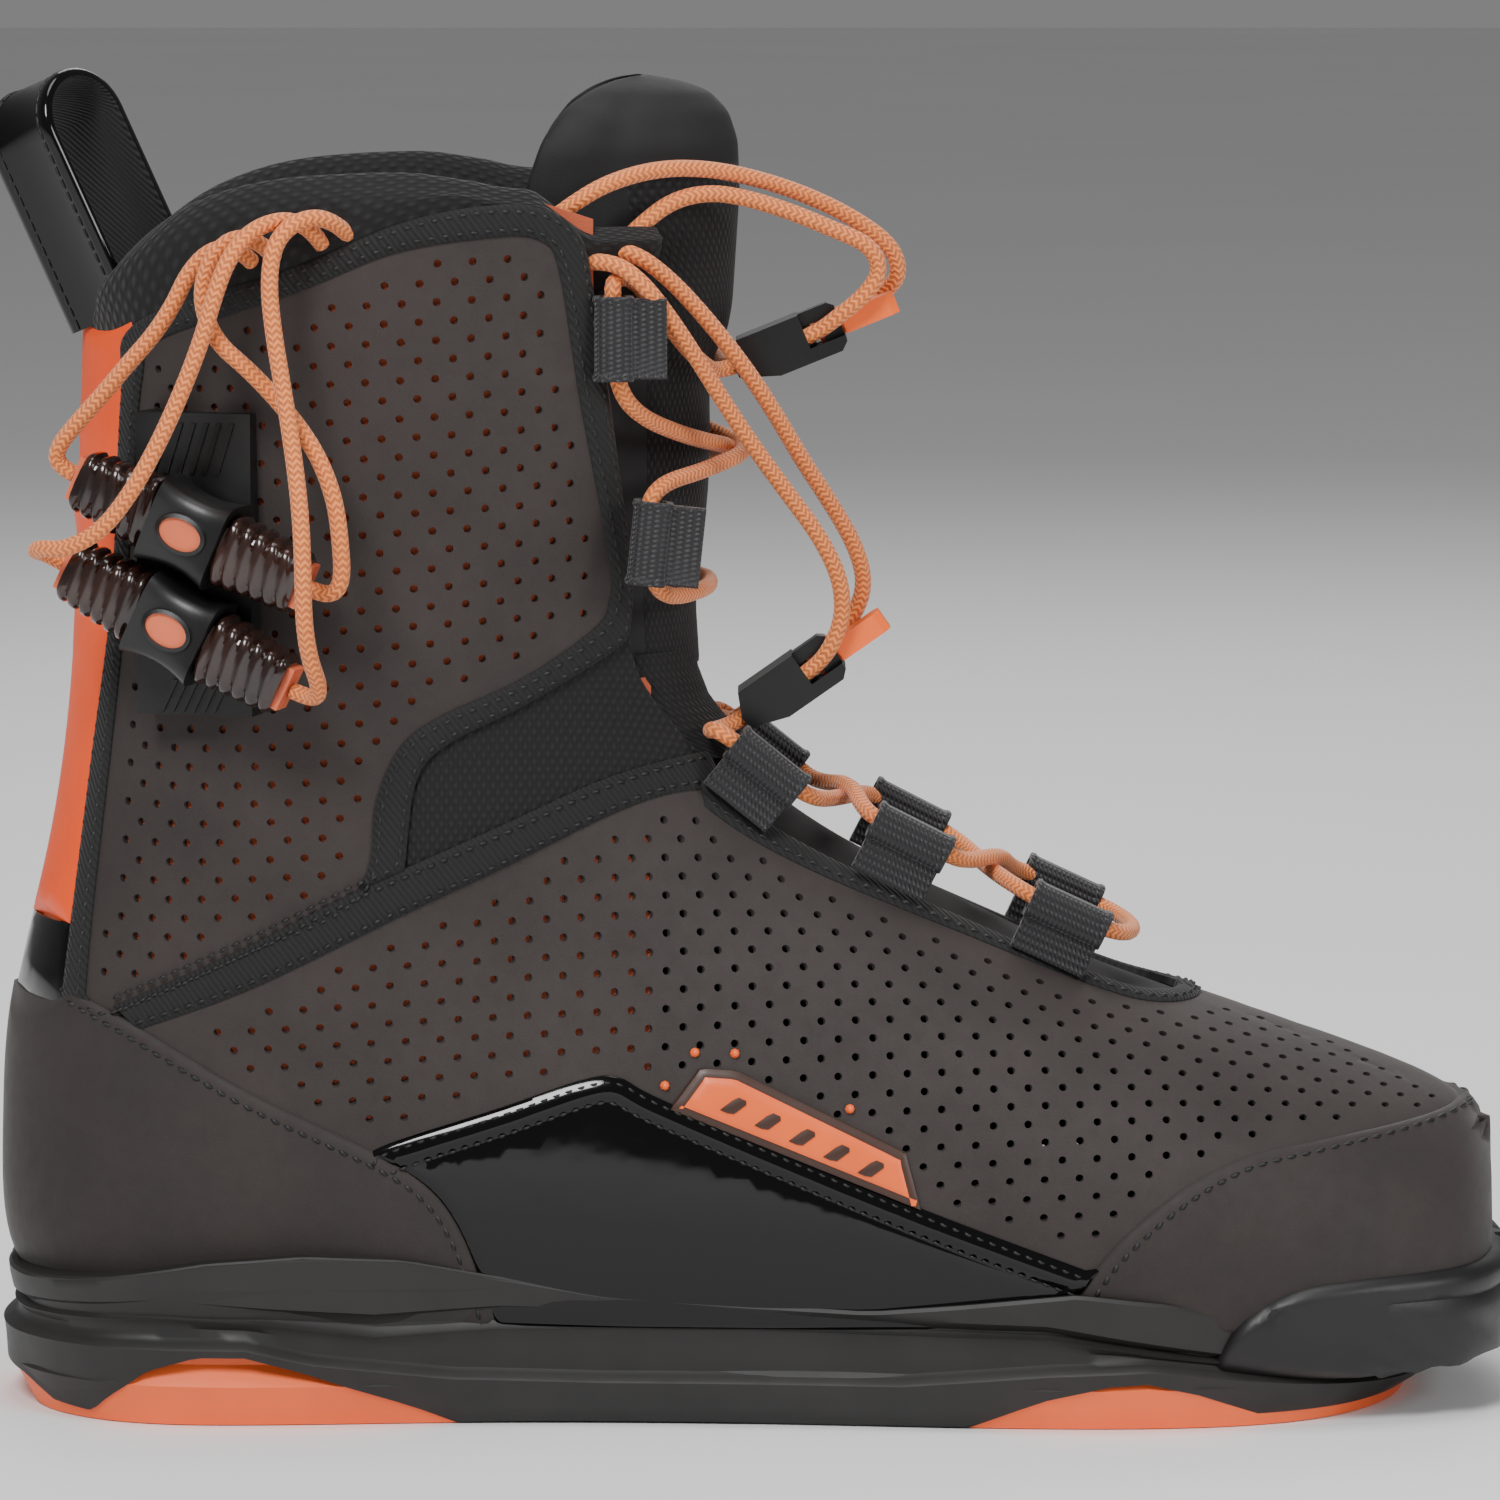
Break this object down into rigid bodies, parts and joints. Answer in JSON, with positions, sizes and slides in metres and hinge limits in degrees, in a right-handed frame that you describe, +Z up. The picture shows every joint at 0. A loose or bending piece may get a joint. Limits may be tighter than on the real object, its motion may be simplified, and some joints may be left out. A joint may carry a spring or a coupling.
{
  "type": "wakeboard boot",
  "caption": "Right wakeboard boot with a bolt-on moulded chassis, closed toe, perforated upper, padded tongue and collar, two lacing zones with lace locks and docked lace handles.",
  "frame": {"origin": "middle of the four board bolt holes, on the flat underside of the sole", "axes": "+X towards the toe, +Y towards the inner (medial) side, +Z up"},
  "size_m": [0.3084, 0.1306, 0.2709],
  "materials": {
    "chassis_plastic": "satin",
    "grip_orange": "satin",
    "plate_nylon": "matte",
    "bumper_rubber": "satin",
    "panel_grey": "matte",
    "patent_black": "gloss",
    "orange_foam": "matte",
    "orange_rubber": "satin",
    "black_knit": "matte",
    "black_binding": "matte",
    "black_webbing": "satin",
    "lace_orange": "matte",
    "lock_black": "satin",
    "dock_black": "satin",
    "smoke_grip": "satin",
    "liner_foam": "matte"
  },
  "bodies": {
    "boot": {"ankle_gusset_lateral": "black_knit", "ankle_gusset_medial": "black_knit", "badge_lateral": "orange_rubber", "baseplate": "plate_nylon", "chassis": "chassis_plastic", "collar": "black_knit", "cuff_binding_lateral": "black_binding", "cuff_binding_medial": "black_binding", "cuff_panel_lateral": "panel_grey", "cuff_panel_medial": "panel_grey", "dock_plate": "dock_black", "foam_underlay": "orange_foam", "footbed": "liner_foam", "heel_counter": "panel_grey", "heel_pad": "grip_orange", "heel_spine_patent": "patent_black", "heel_spine_strip": "orange_rubber", "instep_binding": "black_binding", "lace_front_lower_1": "lace_orange", "lace_front_lower_2": "lace_orange", "lace_front_upper_1": "lace_orange", "lace_front_upper_2": "lace_orange", "lace_loop_lateral_1": "black_webbing", "lace_loop_lateral_2": "black_webbing", "lace_loop_lateral_3": "black_webbing", "lace_loop_lateral_4": "black_webbing", "lace_loop_lateral_5": "black_webbing", "lace_loop_medial_1": "black_webbing", "lace_loop_medial_2": "black_webbing", "lace_loop_medial_3": "black_webbing", "lace_loop_medial_4": "black_webbing", "lace_loop_medial_5": "black_webbing", "lace_rear_lower_1": "lace_orange", "lace_rear_lower_2": "lace_orange", "lace_rear_upper_1": "lace_orange", "lace_rear_upper_2": "lace_orange", "lacing_lower": "lace_orange", "lacing_upper": "lace_orange", "liner_cuff": "liner_foam", "liner_foot": "liner_foam", "midsole_foam": "liner_foam", "pull_loop": "patent_black", "side_panel_lateral": "patent_black", "side_panel_medial": "patent_black", "toe_bumper": "bumper_rubber", "toe_cap": "panel_grey", "toe_pad": "grip_orange", "tongue_base": "black_knit", "vamp_panel": "panel_grey"},
    "tongue": {"tongue": "black_knit"},
    "lock_upper": {"lock_upper_body": "lock_black"},
    "wedge_upper": {"lock_upper_wedge": "orange_rubber"},
    "lock_lower": {"lock_lower_body": "lock_black"},
    "wedge_lower": {"lock_lower_wedge": "orange_rubber"},
    "handle_upper": {"handle_upper_core": "orange_rubber", "handle_upper_clip": "dock_black", "handle_upper_grips": "smoke_grip"},
    "handle_lower": {"handle_lower_core": "orange_rubber", "handle_lower_clip": "dock_black", "handle_lower_grips": "smoke_grip"}
  },
  "joints": [
    {"name": "tongue_tilt", "type": "hinge", "parent": "boot", "child": "tongue", "pos_m": [-0.009, 0, 0.148], "axis": [0, 1, 0], "range_deg": [0, 12], "deforming": ["lacing_upper", "lace_front_upper_1", "lace_front_upper_2", "lace_front_lower_1", "lace_front_lower_2"]},
    {"name": "lock_upper_slide", "type": "slide", "parent": "tongue", "child": "lock_upper", "axis": [0.9272, 0, 0.3746], "range_m": [0, 0.005]},
    {"name": "wedge_upper_slide", "type": "slide", "parent": "lock_upper", "child": "wedge_upper", "axis": [0.9272, 0, 0.3746], "range_m": [0, 0.004]},
    {"name": "lock_lower_slide", "type": "slide", "parent": "boot", "child": "lock_lower", "axis": [0.8192, 0, 0.5736], "range_m": [0, 0.005], "deforming": ["lacing_lower"]},
    {"name": "wedge_lower_slide", "type": "slide", "parent": "lock_lower", "child": "wedge_lower", "axis": [0.8192, 0, 0.5736], "range_m": [0, 0.004]},
    {"name": "handle_upper_undock", "type": "slide", "parent": "boot", "child": "handle_upper", "axis": [-0.2756, -0.9613, 0], "range_m": [0, 0.012], "deforming": ["lace_rear_upper_1", "lace_rear_upper_2"]},
    {"name": "handle_lower_undock", "type": "slide", "parent": "boot", "child": "handle_lower", "axis": [-0.2756, -0.9613, 0], "range_m": [0, 0.012], "deforming": ["lace_rear_lower_1", "lace_rear_lower_2"]}
  ]
}
